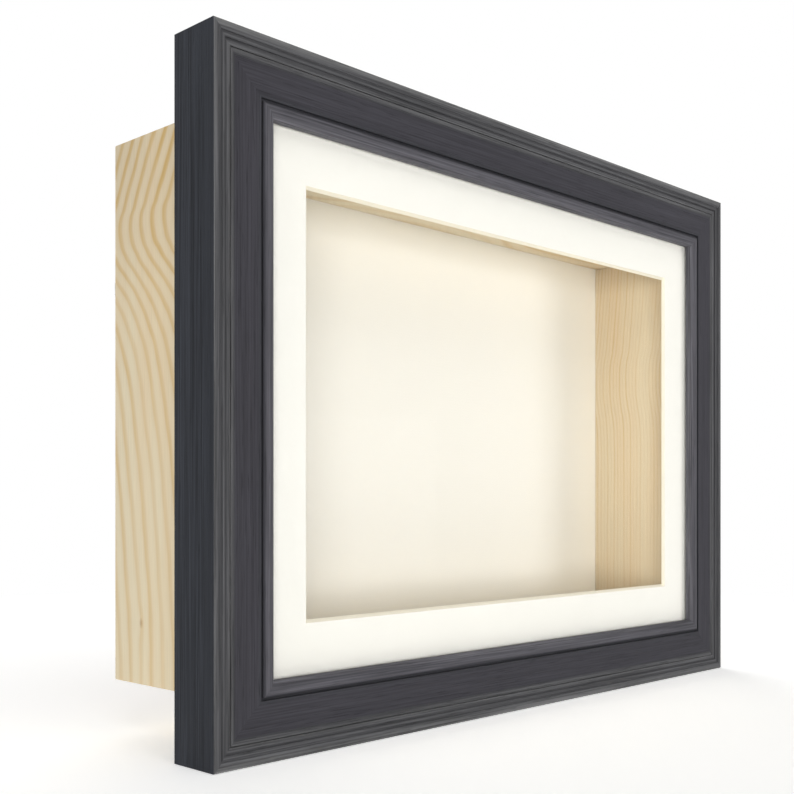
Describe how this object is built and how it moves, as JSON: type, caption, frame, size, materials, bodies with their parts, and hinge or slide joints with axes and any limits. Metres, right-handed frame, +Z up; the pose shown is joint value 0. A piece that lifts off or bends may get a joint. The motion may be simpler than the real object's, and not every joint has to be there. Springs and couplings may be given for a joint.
{
  "type": "shadow box frame",
  "caption": "Deep wall-hung shadow box frame: stepped charcoal moulding, glass and window mount on a pine box, with a lift-out back held by turn buttons and D-ring hangers.",
  "frame": {"origin": "centre of the pine box's rear rim, in the plane that faces the wall", "axes": "+X to the viewer's right along the longest side, +Y from the front towards the wall, +Z up"},
  "size_m": [0.402, 0.1131, 0.3],
  "materials": {
    "charcoal_moulding": "stained open grain, satin",
    "pine": "planed, unfinished",
    "glass": "clear",
    "ivory_mount": "matt",
    "cream_card": "matt",
    "hardboard": "smooth hardboard",
    "zinc_steel": "zinc plated"
  },
  "bodies": {
    "case": {"moulding_top": "charcoal_moulding", "moulding_bottom": "charcoal_moulding", "moulding_left": "charcoal_moulding", "moulding_right": "charcoal_moulding", "corner_nails": "zinc_steel", "glass": "glass", "window_mount": "ivory_mount", "box_top": "pine", "box_bottom": "pine", "box_left": "pine", "box_right": "pine", "box_corner_pins": "zinc_steel", "frame_pins": "zinc_steel", "hanger_strap_left": "zinc_steel", "hanger_strap_right": "zinc_steel", "hanger_screws": "zinc_steel"},
    "back": {"back_card": "cream_card", "back_panel": "hardboard", "turn_button_rivets": "zinc_steel"},
    "button_top_left": {"turn_button_top_left": "zinc_steel"},
    "button_top_right": {"turn_button_top_right": "zinc_steel"},
    "button_bottom_left": {"turn_button_bottom_left": "zinc_steel"},
    "button_bottom_right": {"turn_button_bottom_right": "zinc_steel"},
    "button_left": {"turn_button_left": "zinc_steel"},
    "button_right": {"turn_button_right": "zinc_steel"},
    "ring_left": {"hanger_ring_left": "zinc_steel"},
    "ring_right": {"hanger_ring_right": "zinc_steel"}
  },
  "joints": [
    {"name": "back_lift_out", "type": "slide", "parent": "case", "child": "back", "axis": [0, 1, 0], "range_m": [0, 0.06]},
    {"name": "button_top_left_turn", "type": "hinge", "parent": "back", "child": "button_top_left", "pos_m": [-0.095, -0.03375, 0.106], "axis": [0, -1, 0], "continuous": true},
    {"name": "button_top_right_turn", "type": "hinge", "parent": "back", "child": "button_top_right", "pos_m": [0.095, -0.03375, 0.106], "axis": [0, 1, 0], "continuous": true},
    {"name": "button_bottom_left_turn", "type": "hinge", "parent": "back", "child": "button_bottom_left", "pos_m": [-0.095, -0.03375, -0.106], "axis": [0, 1, 0], "continuous": true},
    {"name": "button_bottom_right_turn", "type": "hinge", "parent": "back", "child": "button_bottom_right", "pos_m": [0.095, -0.03375, -0.106], "axis": [0, -1, 0], "continuous": true},
    {"name": "button_left_turn", "type": "hinge", "parent": "back", "child": "button_left", "pos_m": [-0.157, -0.03375, 0], "axis": [0, 1, 0], "continuous": true},
    {"name": "button_right_turn", "type": "hinge", "parent": "back", "child": "button_right", "pos_m": [0.157, -0.03375, 0], "axis": [0, -1, 0], "continuous": true},
    {"name": "ring_left_swing", "type": "hinge", "parent": "case", "child": "ring_left", "pos_m": [-0.1723, 0.002, 0.062], "axis": [1, 0, 0], "range_deg": [0, 180]},
    {"name": "ring_right_swing", "type": "hinge", "parent": "case", "child": "ring_right", "pos_m": [0.1723, 0.002, 0.062], "axis": [1, 0, 0], "range_deg": [0, 180]}
  ]
}
